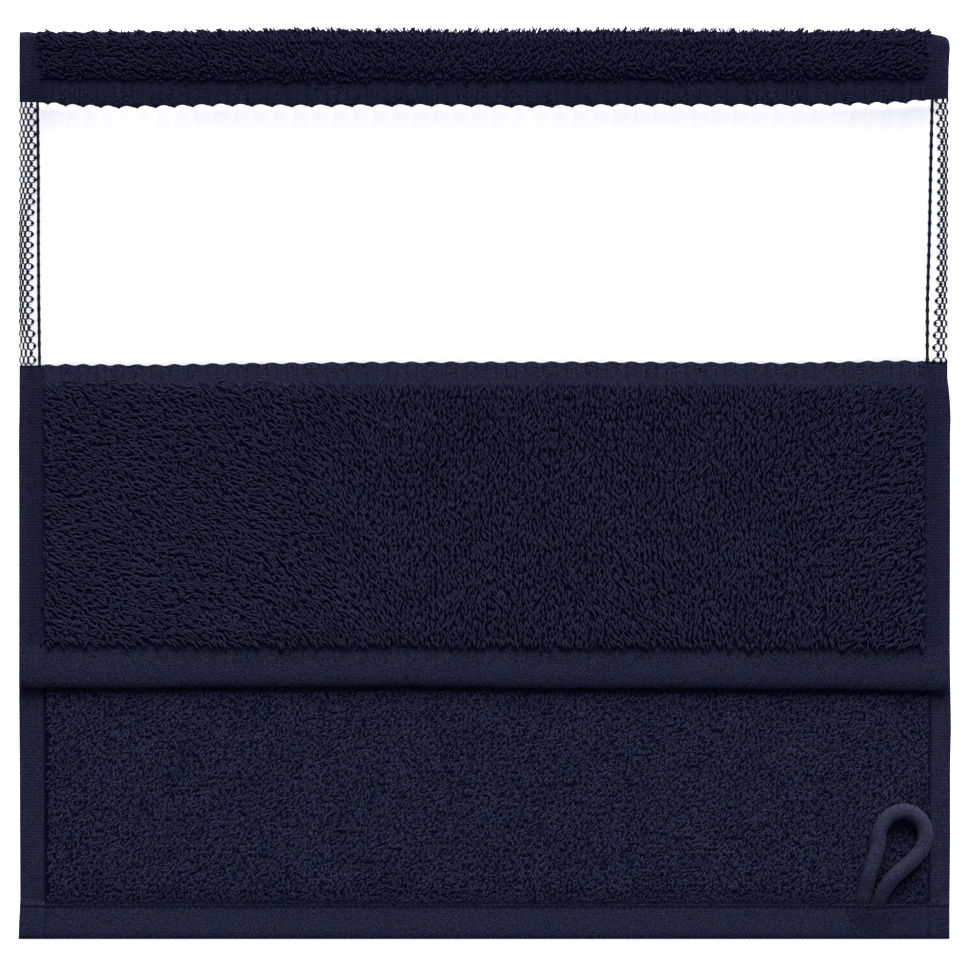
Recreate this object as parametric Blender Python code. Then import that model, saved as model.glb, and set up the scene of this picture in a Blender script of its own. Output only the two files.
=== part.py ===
"""Terry hand towel, folded once, with a flat-woven border and a cord hanging loop.

The towel lies flat on its back. X runs across the cloth, Y runs from the hems up to
the fold, and Z is the height above the table. The front layer shows the long pile,
the back layer shows the short pile below the front hem, with the loop under its hem.
The cloth is one section of its two layers, swept from selvedge to selvedge.
"""

import math
from collections import namedtuple

import bmesh
import bpy
import numpy as np

MM = 0.001

# Driving dimensions, in millimetres
HALF_WIDTH = 150.0          # half the cloth's width
SELVEDGE_START = 142.9      # the pile has ended here, and the flat selvedge begins
PILE_END = 141.3            # the pile is at its full height up to here
EDGE_ROUNDING_START = 149.2
EDGE_THINNING = 0.6         # the share of its thickness that a selvedge keeps at its very edge
FOLD_STEPS = 6              # flat faces round the fold
RIB_PITCH = 6.2             # from rib to rib in the two flat stripes beside the border
RIB_HEIGHT = 0.3
RIB_SCALLOP = 0.6           # how far each rib's end reaches into the border
COLUMNS_PER_STEP = 5        # half rib pitches between two columns of the plain cloth
FRONT_RIPPLE = 0.22         # how far the long pile's surface swells and dips
BACK_RIPPLE = 0.12

# Where the loop's two legs go under the back hem
LEGS_X = 125.4
LEGS_SPREAD = 6.8
LEGS_REACH = 12.0           # the cloth's columns are close together this near the legs
LEGS_PRESS_START = -122.0   # the pile under the legs is pressed down from here
LEGS_PRESS_END = -130.5
HEM_EDGE = -135.2
HEM_SWELL = 2.5             # the hem stands higher where it covers the cord's ends
HEM_SWELL_END = -144.0

# A row is one line across the cloth. y is its place, mid the height of the ground weave,
# half its half thickness, nap_a and nap_b what the pile adds on the long and the short
# side, and droop how far the selvedge sinks at its outer edge. ribs is the share of their
# full height that the ribs have there, and scallop the way their ends point along Y.
Row = namedtuple("Row", "name y mid half nap_a nap_b droop ribs scallop", defaults=(0.0, 0.0))

FRONT_ROWS = (
    Row("hem end", -66.4, 5.85, 0.55, 0.0, 0.0, 1.2),
    Row("hem", -65.6, 5.85, 1.05, 0.0, 0.0, 1.2),
    Row("hem", -60.0, 5.90, 1.10, 0.0, 0.0, 1.2),
    Row("hem", -54.6, 5.90, 1.10, 0.0, 0.0, 1.2),
    Row("pile foot", -53.6, 6.20, 0.80, 0.4, 0.55, 1.2),
    Row("pile edge", -52.0, 6.45, 0.50, 1.6, 1.20, 1.2),
    Row("pile", -47.0, 6.50, 0.50, 1.9, 1.25, 1.2),
    Row("pile", -33.0, 6.50, 0.50, 1.9, 1.25, 1.2),
    Row("pile", -19.0, 6.50, 0.50, 1.9, 1.25, 1.2),
    Row("pile", -5.0, 6.50, 0.50, 1.9, 1.25, 1.2),
    Row("pile", 9.0, 6.50, 0.50, 1.9, 1.25, 1.2),
    Row("pile", 21.0, 6.50, 0.50, 1.9, 1.25, 1.2),
    Row("pile", 29.0, 6.50, 0.50, 1.8, 1.20, 1.2),
    Row("pile edge", 31.6, 6.45, 0.50, 1.4, 1.00, 1.2),
    Row("rib foot", 33.0, 6.35, 0.50, 0.2, 0.20, 1.2, ribs=0.5),
    Row("rib", 36.2, 6.00, 0.50, 0.0, 0.00, 1.1, ribs=1.0),
    Row("rib end", 39.2, 5.55, 0.50, 0.0, 0.00, 1.0, ribs=1.0, scallop=1.0),
    Row("border edge", 40.6, 5.28, 0.45, 0.0, 0.00, 0.9),
    Row("border", 44.0, 5.20, 0.45, 0.0, 0.00, 0.9),
    Row("border", 81.0, 5.20, 0.45, 0.0, 0.00, 0.9),
    Row("border", 118.2, 5.20, 0.45, 0.0, 0.00, 0.9),
    Row("border edge", 121.6, 5.28, 0.45, 0.0, 0.00, 0.9),
    Row("rib end", 123.0, 5.55, 0.50, 0.0, 0.00, 1.0, ribs=1.0, scallop=-1.0),
    Row("rib", 126.2, 6.00, 0.50, 0.0, 0.00, 1.0, ribs=1.0),
    Row("rib foot", 129.6, 6.35, 0.50, 0.2, 0.20, 1.1, ribs=0.5),
    Row("pile edge", 131.2, 6.45, 0.50, 1.4, 1.00, 1.2),
    Row("pile", 134.2, 6.50, 0.50, 1.9, 1.15, 1.2),
)
FOLD_FRONT = Row("fold", None, 6.50, 0.50, 1.9, 0.95, 1.2)
FOLD_BACK = Row("fold", None, 2.40, 0.50, 1.9, 0.90, 1.2)
BACK_ROWS = (
    Row("pile", 134.2, 2.40, 0.50, 1.9, 1.20, 1.2),
    Row("pile", 116.0, 2.40, 0.50, 1.9, 1.25, 1.2),
    Row("pile", 90.0, 2.40, 0.50, 1.9, 1.25, 1.2),
    Row("pile", 60.0, 2.40, 0.50, 1.9, 1.25, 1.2),
    Row("pile", 30.0, 2.40, 0.50, 1.9, 1.25, 1.2),
    Row("pile", 0.0, 2.40, 0.50, 1.9, 1.25, 1.2),
    Row("pile", -28.0, 2.40, 0.50, 1.9, 1.25, 1.2),
    Row("pile", -52.0, 2.40, 0.50, 1.9, 1.25, 1.2),
    Row("pile", -68.0, 2.40, 0.50, 1.9, 1.25, 1.2),
    Row("pile", -80.0, 2.40, 0.50, 1.9, 1.25, 1.2),
    Row("pile", -92.0, 2.40, 0.50, 1.9, 1.25, 1.2),
    Row("pile", -104.0, 2.40, 0.50, 1.9, 1.25, 1.2),
    Row("pile", -114.0, 2.40, 0.50, 1.9, 1.25, 1.2),
    Row("pile", -122.0, 2.40, 0.50, 1.9, 1.25, 1.2),
    Row("pile", -126.5, 2.38, 0.50, 1.88, 1.25, 1.1),
    Row("pile", -130.5, 2.25, 0.50, 1.75, 1.25, 0.9),
    Row("pile edge", -133.4, 1.95, 0.50, 1.45, 1.00, 0.5),
    Row("pile foot", -134.8, 1.40, 0.60, 0.80, 0.35, 0.1),
    Row("hem edge", HEM_EDGE, 1.15, 1.00, 0.15, 0.0, 0.0),
    Row("hem", -136.4, 1.10, 1.10, 0.0, 0.0, 0.0),
    Row("hem", -140.5, 1.10, 1.10, 0.0, 0.0, 0.0),
    Row("hem", -145.6, 1.08, 1.08, 0.0, 0.0, 0.0),
    Row("hem end", -146.4, 1.00, 0.55, 0.0, 0.0, 0.0),
)

# How far the cloth's two sides stray from straight: y, left side's x, right side's x
Side = namedtuple("Side", "y left right")

FRONT_SIDES = (
    Side(-66.4, -150.2, 150.2),
    Side(-50.0, -150.5, 149.8),
    Side(-5.0, -150.2, 149.8),
    Side(14.5, -150.5, 149.8),
    Side(34.0, -150.2, 149.2),
    Side(82.0, -150.3, 149.5),
    Side(118.0, -150.2, 149.8),
    Side(137.0, -150.2, 149.8),
)
BACK_SIDES = (
    Side(-146.4, -150.2, 150.0),
    Side(-128.0, -149.8, 149.9),
    Side(-115.0, -149.8, 150.2),
    Side(-68.0, -150.4, 150.5),
    Side(0.0, -149.7, 149.6),
    Side(137.0, -150.2, 149.8),
)

# How far the fold reaches, in step along the width: x, y
FoldReach = namedtuple("FoldReach", "x y")

FOLD_REACH = (
    FoldReach(-150.0, 145.9),
    FoldReach(-146.0, 146.2),
    FoldReach(-110.0, 146.0),
    FoldReach(-60.0, 146.5),
    FoldReach(-10.0, 146.1),
    FoldReach(45.0, 146.4),
    FoldReach(95.0, 146.0),
    FoldReach(138.0, 146.6),
    FoldReach(146.0, 145.6),
    FoldReach(150.0, 144.4),
)

# The cord's route, from the left leg round to the right leg: its centre and its section
Station = namedtuple("Station", "x y z width height")

LOOP_ROUTE = (
    Station(122.4, -134.0, 4.10, 4.7, 2.6),
    Station(122.9, -131.3, 4.75, 4.8, 3.0),
    Station(124.2, -126.4, 6.15, 4.9, 3.7),
    Station(125.8, -121.0, 6.60, 5.0, 4.2),
    Station(127.1, -116.0, 6.60, 5.0, 4.2),
    Station(127.6, -111.6, 6.60, 5.0, 4.2),
    Station(130.4, -107.3, 6.60, 5.0, 4.2),
    Station(135.6, -105.4, 6.60, 5.0, 4.2),
    Station(140.3, -107.7, 6.60, 5.0, 4.2),
    Station(142.2, -112.3, 6.60, 5.0, 4.2),
    Station(141.1, -117.4, 6.60, 5.0, 4.2),
    Station(137.4, -121.9, 6.60, 5.0, 4.2),
    Station(132.6, -126.0, 6.45, 4.9, 3.9),
    Station(129.4, -130.4, 5.30, 4.8, 3.2),
    Station(127.6, -134.0, 4.10, 4.7, 2.6),
)
LOOP_STEPS = 4              # stations added between two points of the route
LOOP_SIDES = 12
LOOP_END_INSET = 0.35       # how far a cut end's rim is drawn in


def clear_scene():
    for obj in list(bpy.data.objects):
        bpy.data.objects.remove(obj, do_unlink=True)


def smooth_step(value, start, end):
    """Go from 0 at start to 1 at end, level at both."""
    t = min(1.0, max(0.0, (value - start) / (end - start)))
    return t * t * (3.0 - 2.0 * t)


def fabric(name, color, roughness):
    material = bpy.data.materials.new(name)
    material.use_nodes = True
    shader = material.node_tree.nodes["Principled BSDF"]
    shader.inputs["Base Color"].default_value = (*color, 1.0)
    shader.inputs["Roughness"].default_value = roughness
    shader.inputs["Metallic"].default_value = 0.0
    material.diffuse_color = (*color, 1.0)
    return material


def ripple(x, y, amount):
    """Give the pile's broad, uneven swell at a place."""
    wave = math.sin(x / 17.0 + 0.8 * math.sin(y / 23.0))
    cross = math.sin(y / 13.0 + 1.3 + 0.9 * math.sin(x / 31.0))
    return amount * (0.6 * wave + 0.4 * cross)


def pile_share(x):
    """Say how much of its height the pile has at x: all inside, none on a selvedge."""
    return smooth_step(abs(x), SELVEDGE_START, PILE_END)


def legs_press(x, y):
    """Say how far the loop's legs press the short pile down."""
    across = math.exp(-((x - LEGS_X) / LEGS_SPREAD) ** 4)
    return across * smooth_step(y, LEGS_PRESS_START, LEGS_PRESS_END)


def hem_swell(x, y):
    """Give the rise of the back hem over the cord's ends."""
    if y > HEM_EDGE:
        return 0.0
    across = math.exp(-((x - LEGS_X) / LEGS_SPREAD) ** 4)
    return HEM_SWELL * across * smooth_step(y, HEM_SWELL_END, HEM_EDGE)


def rib_wave(x):
    """Rise from 0 in a groove to 1 on a rib, and fall again, once in each rib pitch."""
    along = (x / RIB_PITCH) % 1.0
    return abs(2.0 * along - 1.0)


def ground(row, x):
    """Give the ground weave's middle height and half thickness at x."""
    sink = row.droop * smooth_step(abs(x), SELVEDGE_START - 1.0, HALF_WIDTH)
    thinning = smooth_step(abs(x), EDGE_ROUNDING_START, HALF_WIDTH) * (1.0 - EDGE_THINNING)
    return row.mid - sink, row.half * (1.0 - thinning)


def front_heights(row, x, y):
    """Give the front layer's top, which is the long pile, and its underside."""
    mid, half = ground(row, x)
    share = pile_share(x)
    swell = ripple(x, y, FRONT_RIPPLE) * row.nap_a / FOLD_FRONT.nap_a
    rib = RIB_HEIGHT * row.ribs * rib_wave(x)
    return mid + half + share * (row.nap_a + swell + rib), mid - half - share * row.nap_b


def back_heights(row, x, y):
    """Give the back layer's underside, which is the long pile, and its top."""
    mid, half = ground(row, x)
    share = pile_share(x)
    swell = ripple(x, y, BACK_RIPPLE) - BACK_RIPPLE
    nap_b = row.nap_b * (1.0 - legs_press(x, y)) + min(row.nap_b, 1.0) * swell
    top = mid + half + share * max(nap_b, 0.0) + hem_swell(x, y)
    return mid - half - share * row.nap_a, top


def side_x(sides, x, y):
    """Move a point at x on a straight cloth to its place between the two real sides."""
    rows = sorted(sides)
    places = [side.y for side in rows]
    left = np.interp(y, places, [side.left for side in rows])
    right = np.interp(y, places, [side.right for side in rows])
    return float(left + (right - left) * (x / HALF_WIDTH + 1.0) / 2.0)


def plain_columns():
    """List the columns' x: close together at the selvedges and by the loop's legs."""
    half_pitch = RIB_PITCH / 2.0
    side = [PILE_END, SELVEDGE_START, 146.0, EDGE_ROUNDING_START, HALF_WIDTH]
    last = int(PILE_END / half_pitch)
    steps = set(range(-last, last + 1, COLUMNS_PER_STEP))
    for step in range(last + 1):
        if abs(step * half_pitch - LEGS_X) < LEGS_REACH:
            steps.add(step)
    inner = [step * half_pitch for step in sorted(steps)]
    return [-x for x in reversed(side)] + inner + side


def rib_columns():
    """Add a column on each rib and in each groove."""
    half_pitch = RIB_PITCH / 2.0
    last = int(PILE_END / half_pitch)
    ribs = {step * half_pitch for step in range(-last, last + 1)}
    return sorted(ribs.union(plain_columns()))


def front_lines(row, columns):
    """Give one row's points on the front layer, on its top and on its underside."""
    top_line = []
    under_line = []
    for x in rib_columns() if row.ribs else columns:
        y = row.y + row.scallop * RIB_SCALLOP * (rib_wave(x) - 0.5)
        top, _ = front_heights(row, x, y)
        top_line.append((x, (side_x(FRONT_SIDES, x, y), y, top)))
    for x in columns:
        _, under = front_heights(row, x, row.y)
        under_line.append((x, (side_x(FRONT_SIDES, x, row.y), row.y, under)))
    return top_line, under_line


def back_lines(row, columns):
    """Give one row's points on the back layer, on its underside and on its top."""
    under_line = []
    top_line = []
    for x in columns:
        under, top = back_heights(row, x, row.y)
        place = side_x(BACK_SIDES, x, row.y)
        under_line.append((x, (place, row.y, under)))
        top_line.append((x, (place, row.y, top)))
    return under_line, top_line


def fold_lines(step, columns):
    """Give one step's points round the fold, on its outside and on its inside."""
    angle = math.pi / 2.0 - math.pi * step / FOLD_STEPS
    outer_line = []
    inner_line = []
    for x in columns:
        reach = float(np.interp(x, [p.x for p in FOLD_REACH], [p.y for p in FOLD_REACH]))
        front_top, front_under = front_heights(FOLD_FRONT, x, reach)
        back_under, back_top = back_heights(FOLD_BACK, x, reach)
        radius = (front_top - back_under) / 2.0
        inner_radius = (front_under - back_top) / 2.0
        centre = reach - radius
        place = side_x(FRONT_SIDES, x, reach)
        outer_line.append((x, (place, centre + radius * math.cos(angle),
                               back_under + radius * (1.0 + math.sin(angle)))))
        inner_line.append((x, (place, centre + inner_radius * math.cos(angle),
                               back_top + inner_radius * (1.0 + math.sin(angle)))))
    return outer_line, inner_line


def mesh_object(name, bm, material):
    bmesh.ops.recalc_face_normals(bm, faces=bm.faces)
    mesh = bpy.data.meshes.new(name)
    bm.to_mesh(mesh)
    bm.free()
    mesh.materials.append(material)
    mesh.shade_smooth()
    mesh.set_sharp_from_angle(angle=math.radians(50.0))
    obj = bpy.data.objects.new(name, mesh)
    bpy.context.scene.collection.objects.link(obj)
    return obj


def join_lines(bm, first, second):
    """Fill the strip between two lines, which may have columns that the other lacks."""
    shared = sorted({x for x, _ in first}.intersection(x for x, _ in second))
    for start, end in zip(shared, shared[1:]):
        near = [vert for x, vert in first if start <= x <= end]
        far = [vert for x, vert in second if start <= x <= end]
        bm.faces.new(near + far[::-1])


def make_towel(material):
    """Join the cloth's lines in turn: the long-pile side from the front hem round the
    fold to the back hem, then the short-pile side back again, and both selvedges."""
    columns = plain_columns()
    pairs = [front_lines(row, columns) for row in FRONT_ROWS]
    pairs += [fold_lines(step, columns) for step in range(FOLD_STEPS + 1)]
    pairs += [back_lines(row, columns) for row in BACK_ROWS]

    bm = bmesh.new()

    def add_line(line):
        return [(x, bm.verts.new([value * MM for value in point])) for x, point in line]

    outer = [add_line(line) for line, _ in pairs]
    inner = [add_line(line) for _, line in pairs]
    around = outer + inner[::-1]
    for first, second in zip(around, around[1:] + around[:1]):
        join_lines(bm, first, second)
    for i in range(len(pairs) - 1):
        for end in (0, -1):
            corners = (outer[i][end], outer[i + 1][end], inner[i + 1][end], inner[i][end])
            bm.faces.new([vert for _, vert in corners])
    bmesh.ops.triangulate(bm, faces=bm.faces)
    return mesh_object("towel", bm, material)


def spline(points, steps):
    """Run a smooth curve through hand-placed points, with stations between them."""
    values = np.array(points, dtype=float)
    padded = np.vstack([2.0 * values[0] - values[1], values, 2.0 * values[-1] - values[-2]])
    result = []
    for i in range(1, len(padded) - 2):
        before, start, end, after = padded[i - 1:i + 3]
        for step in range(steps):
            t = step / steps
            result.append(0.5 * (2.0 * start + (end - before) * t
                                 + (2.0 * before - 5.0 * start + 4.0 * end - after) * t ** 2
                                 + (3.0 * start - before - 3.0 * end + after) * t ** 3))
    result.append(values[-1])
    return result


def make_loop(material):
    """Sweep the cord's soft oval section along its route and close both cut ends."""
    stations = spline(LOOP_ROUTE, LOOP_STEPS)
    bm = bmesh.new()
    rings = []
    for i, (x, y, z, width, height) in enumerate(stations):
        ahead = stations[min(i + 1, len(stations) - 1)]
        behind = stations[max(i - 1, 0)]
        run_x, run_y = ahead[0] - behind[0], ahead[1] - behind[1]
        length = math.hypot(run_x, run_y)
        across = (run_y / length, -run_x / length)
        inset = LOOP_END_INSET if i in (0, len(stations) - 1) else 0.0
        ring = []
        for side in range(LOOP_SIDES):
            angle = 2.0 * math.pi * side / LOOP_SIDES
            out = (width / 2.0 - inset) * math.cos(angle)
            up = (height / 2.0 - inset) * math.sin(angle)
            ring.append(bm.verts.new([(x + across[0] * out) * MM,
                                      (y + across[1] * out) * MM,
                                      (z + up) * MM]))
        rings.append(ring)
    for first, second in zip(rings, rings[1:]):
        for side in range(LOOP_SIDES):
            after = (side + 1) % LOOP_SIDES
            bm.faces.new((first[side], first[after], second[after], second[side]))
    for ring in (rings[0], rings[-1]):
        bm.faces.new(ring)
    bmesh.ops.triangulate(bm, faces=bm.faces)
    return mesh_object("hanging_loop", bm, material)


def centre_on_origin(objects):
    """Put the middle of the whole outline on the origin, and its lowest point at z = 0."""
    points = np.array([vertex.co[:] for obj in objects for vertex in obj.data.vertices])
    low, high = points.min(axis=0), points.max(axis=0)
    shift = np.array([(low[0] + high[0]) / 2.0, (low[1] + high[1]) / 2.0, low[2]])
    for obj in objects:
        for vertex in obj.data.vertices:
            vertex.co = [float(value) for value in np.array(vertex.co[:]) - shift]


def main():
    clear_scene()
    terry = fabric("navy_terry", (0.016, 0.016, 0.034), 0.95)
    cord = fabric("navy_cord", (0.024, 0.023, 0.046), 0.9)
    towel = make_towel(terry)
    loop = make_loop(cord)
    centre_on_origin([towel, loop])


main()
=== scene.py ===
"""Dresses the folded hand towel: the woven cloth with its hems, the pile on both of its
sides, the white border with its threads, the hem's stitches and the hanging loop.

Lengths are in millimetres here and become metres where a mesh is made. X runs across the
cloth, Y from the hems up to the fold, and Z is the height above the floor.
"""

import math
from collections import namedtuple

import bmesh
import bpy
import numpy as np
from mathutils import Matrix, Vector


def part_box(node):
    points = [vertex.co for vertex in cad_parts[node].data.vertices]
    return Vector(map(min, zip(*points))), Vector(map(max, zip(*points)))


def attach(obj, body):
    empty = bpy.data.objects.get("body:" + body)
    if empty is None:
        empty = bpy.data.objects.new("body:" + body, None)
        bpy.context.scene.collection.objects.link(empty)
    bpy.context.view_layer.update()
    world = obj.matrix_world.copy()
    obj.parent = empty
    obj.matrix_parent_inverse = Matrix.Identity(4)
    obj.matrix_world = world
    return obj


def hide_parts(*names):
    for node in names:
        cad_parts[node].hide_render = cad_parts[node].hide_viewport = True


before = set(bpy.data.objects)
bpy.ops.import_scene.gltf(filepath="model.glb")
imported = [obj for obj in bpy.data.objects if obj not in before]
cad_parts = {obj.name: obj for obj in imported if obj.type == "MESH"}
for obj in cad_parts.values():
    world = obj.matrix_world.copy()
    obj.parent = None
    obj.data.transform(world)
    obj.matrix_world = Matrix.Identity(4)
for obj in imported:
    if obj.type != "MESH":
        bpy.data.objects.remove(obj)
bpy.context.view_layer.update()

MM = 0.001
SEED = 7

# The cloth's sizes
HALF_WIDTH = 150.0
SELVEDGE_START = 142.9       # the pile has ended here, and the flat selvedge begins
PILE_END = 141.3             # the pile is at its full height up to here
EDGE_ROUNDING_START = 149.2
EDGE_KEPT = 0.15             # the share of its thickness left at a selvedge's very edge
SHORT_PILE_LEFT = 141.3      # where the short pile ends, in a dark groove
SHORT_PILE_RIGHT = 143.1
GROOVE_SHADE_WIDTH = 0.5
RIB_HEIGHT = 0.3
COLUMNS_PER_RIB = 8
PLAIN_STEP = 5               # fine columns between two columns of the plain cloth
FOLD_STEPS = 16
FRONT_RIPPLE = 0.22          # how far the long pile's surface swells and dips
BACK_RIPPLE = 0.12
UNDER_PILE = 0.5             # how high the cloth's own mesh stands in the pile that covers it
FOLD_FILLING = 0.1           # how much higher it stands where the pile opens round the fold
FRONT_HEM_ROUND = 4.2        # how far back from its end the front hem is rounded off
BACK_HEM_ROUND = 2.4
SEAM_LINE = -136.6           # the back hem's line of stitches
SOLID_END = -146.4           # the back hem's end on the towel's solid
FOLD_START = 142.0           # the cloth starts to turn here
UPPER_RIBS = 123.0           # where the ribs are whole, above the border and below it
LOWER_RIBS = 39.0
RIB_FADE = 5.0

# Where the loop's two legs go under the back hem
LEGS_X = 125.4
LEGS_SPREAD = 6.8
LEGS_REACH = 12.0
LEGS_PRESS_START = -122.0
LEGS_PRESS_END = -130.5
HEM_EDGE = -135.5
HEM_SWELL = 1.9
HEM_SWELL_END = -146.0


def table(kind, *lines):
    """Name the values on each line of a table."""
    return tuple(kind(*line) for line in lines)


# A row is one line across the cloth. y is its place, mid the height of the ground weave,
# half its half thickness, nap_a and nap_b what the pile adds on the long and the short
# side, droop how far the selvedge sinks at its outer edge and ribs the ribs' share.
Row = namedtuple("Row", "y mid half nap_a nap_b droop ribs", defaults=(0.0,))

FRONT_ROWS = table(
    Row, (-65.6, 5.4, 1.1, 0, 0, 1.2), (-63.8, 5.62, 1.1, 0, 0, 1.2), (-61, 5.82, 1.1, 0, 0, 1.2),
    (-57, 5.9, 1.1, 0, 0, 1.2), (-53.4, 5.9, 1.1, 0, 0, 1.2), (-52.5, 6.2, 0.8, 0.4, 0.55, 1.2),
    (-51, 6.45, 0.5, 1.6, 1.2, 1.2), (-47, 6.5, 0.5, 1.9, 1.25, 1.2),
    (29, 6.5, 0.5, 1.8, 1.2, 1.2), (31.6, 6.45, 0.5, 1.4, 1, 1.2),
    (33, 6.35, 0.5, 0.2, 0.2, 1.2, 0.5), (36.2, 6, 0.5, 0, 0, 1.1, 1),
    (39.2, 5.55, 0.5, 0, 0, 1, 1), (40.6, 5.28, 0.45, 0, 0, 0.9), (44, 5.2, 0.45, 0, 0, 0.9),
    (118.2, 5.2, 0.45, 0, 0, 0.9), (121.6, 5.28, 0.45, 0, 0, 0.9), (123, 5.55, 0.5, 0, 0, 1, 1),
    (126.2, 6, 0.5, 0, 0, 1, 1), (129.6, 6.35, 0.5, 0.2, 0.2, 1.1, 0.5),
    (131.2, 6.45, 0.5, 1.4, 1, 1.2), (134.2, 6.5, 0.5, 1.9, 1.15, 1.2),
    (142, 6.5, 0.5, 1.9, 0.95, 1.2))
BACK_ROWS = table(
    Row, (-147, 1.1, 1.1, 0, 0, 0), (-137.3, 1.1, 1.1, 0, 0, 0), (-136.6, 1.06, 1.03, 0, 0, 0),
    (-136, 1.24, 1.19, 0, 0, 0), (-135.5, 1.3, 1.05, 0.15, 0.05, 0),
    (-135, 1.6, 0.75, 0.8, 0.45, 0.1), (-133.8, 1.95, 0.5, 1.45, 1, 0.5),
    (-130.5, 2.25, 0.5, 1.75, 1.25, 0.9), (-126.5, 2.38, 0.5, 1.88, 1.25, 1.1),
    (-122, 2.4, 0.5, 1.9, 1.25, 1.2), (116, 2.4, 0.5, 1.9, 1.25, 1.2),
    (134.2, 2.4, 0.5, 1.9, 1.2, 1.2), (142, 2.4, 0.5, 1.9, 0.9, 1.2))

# Stretches of the cloth and how far apart the mesh's lines lie on each
Span = namedtuple("Span", "start stop pitch")

FRONT_SPANS = table(
    Span, (-61.4, -53.4, 1.6), (-53.4, -50.4, 0.5), (-50.4, 30.4, 4.2), (30.4, 43, 0.6),
    (43, 118.6, 6.3), (118.6, 133, 0.6), (133, 135, 1))
BACK_SPANS = table(
    Span, (-144.6, -137.4, 1.4), (-137.4, -133.2, 0.28), (-133.2, -118, 1.6), (-118, 135, 5.5))

# How far the cloth's two sides stray from straight: y, left side's x, right side's x
Side = namedtuple("Side", "y left right")

FRONT_SIDES = table(
    Side, (-66.4, -150.4, 150.4), (-50, -150.3, 150.3), (-5, -150.3, 150.4),
    (14.5, -150.4, 150.4), (24, -150.2, 150.6), (31, -150.2, 150), (35.5, -150.2, 149.4),
    (82, -150.2, 149.6), (118, -150.2, 149.8), (134, -150.2, 149.9), (139, -150.2, 150.2),
    (142, -150.2, 150.3))
BACK_SIDES = table(
    Side, (-147, -150.8, 150.5), (-142, -150.6, 150.5), (-134, -150.2, 150.5),
    (-115, -150.3, 150.7), (-89, -150.4, 150.7), (-78, -150.5, 151), (-68, -150.6, 150.8),
    (0, -149.9, 149.8), (137, -150.2, 149.9), (142, -150.2, 150.3))

# A line across the cloth that isn't quite straight: x, y
Place = namedtuple("Place", "x y")

FOLD_REACH = table(
    Place, (-150, 146.3), (-147, 146.5), (-144.5, 145.9), (-141, 146.1), (-110, 146),
    (-60, 146.5), (-10, 146.1), (45, 146.4), (95, 146), (138, 146.5), (143, 146), (146.3, 145.3),
    (148.2, 145.1), (149.2, 144.5), (149.75, 143.6), (150, 142.6))
BORDER_TOP = table(
    Place, (-150, 123.4), (-143, 123.2), (-134, 122.3), (-117, 121.65), (-98, 122), (-86, 122.4),
    (-61, 122.05), (-12, 122.3), (16, 121.85), (45, 122.35), (96, 122.3), (111, 122.45),
    (135, 123.15), (143.5, 124.1), (150, 124.5))
BORDER_FOOT = table(
    Place, (-150, 38.6), (-142, 38.7), (-134, 38.9), (-105, 38.75), (-86, 39.15), (-69, 39.35),
    (-29, 39.7), (44, 39.75), (98, 39.4), (123, 39.9), (133, 40.15), (150, 39.8))

# How far the front hem strays from level, towards the fold
HEM_SWAY = table(
    Place, (-137, 0.2), (-115, 0.05), (-92, 0.3), (-58, 0.3), (-24, 0.65), (-1, 0.25),
    (21, -0.15), (66, -0.05), (89, -0.4), (112, -0.3), (134, -0.8))
HEM_SWAY_START = -42.0
HEM_SWAY_END = -52.0
# Where the pile begins above the upper ribs
FOLD_PILE_FOOT = table(
    Place, (-137, 131.9), (-92, 131.2), (-46, 131), (-2, 131.3), (43, 132), (89, 131.6),
    (134, 132.4))

# The ribs counted from the left, at places across the cloth
Count = namedtuple("Count", "x ribs")

RIB_COUNTS = table(
    Count, (-152, -2.97), (-135, 0), (-117.8, 3), (-93.9, 7), (-61.9, 12), (-29.6, 17), (2.5, 22),
    (35.1, 27), (67.1, 32), (99.4, 37), (118.2, 40), (136.3, 43), (152, 45.6))

# Which way the long pile leans: the angle at x, in degrees from +X, in the upper rows and
# in the rows just over the hem
Lean = namedtuple("Lean", "x upper lower")

PILE_LEANS = table(
    Lean, (-131, -33, -31), (-111, -35, -37), (-92, -38, -34), (-73, -42, -46), (-53, -57, -53),
    (-34, -80, -74), (-14, -93, -87), (5, -88, -90), (24, -89, -86), (44, -88, -64),
    (63, -89, -76), (83, -91, -88), (102, -100, -94), (121, -118, -112), (138, -128, -126))
# The same for the pile near the fold, which points away from the border
FOLD_LEANS = table(
    Place, (-139, 165), (-119, 142), (-100, 138), (-80, 133), (-61, 108), (-42, 106), (-22, 90),
    (-3, 80), (16, 84), (36, 86), (55, 84), (74, 92), (94, 70), (113, 50), (139, 48))
# Where the long pile stands in upright columns, like its weave, and their pitch
COLUMNS_LEFT = -48.0
COLUMNS_RIGHT = 94.0
COLUMNS_FADE = 14.0
COLUMN_PITCH = 1.66
COLUMN_PULL = 0.24           # how far a strand is drawn to the middle of its column
ROW_PITCH = 1.92             # of the short pile's level rows
ROW_PULL = 0.22
# How light the long pile is along the cloth: a value at y. The fall towards its upper end,
# by the lower ribs, is painted shade where its surface slopes down; the rest is its broad tone.
Light = namedtuple("Light", "y value")

PILE_TONE_AND_SHADE = table(
    Light, (-50, 1), (-38, 1.01), (-24, 1.06), (0, 0.99), (22, 0.95), (33, 0.88))
SHORT_PILE_LEAN = 66.0
SHORT_PILE_LEAN_BY_LOOP = 80.0

# The cord's route, from the left leg round to the right leg: its centre and its section.
# The hem covers the first two and the last two places.
Station = namedtuple("Station", "x y z width height")

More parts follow.
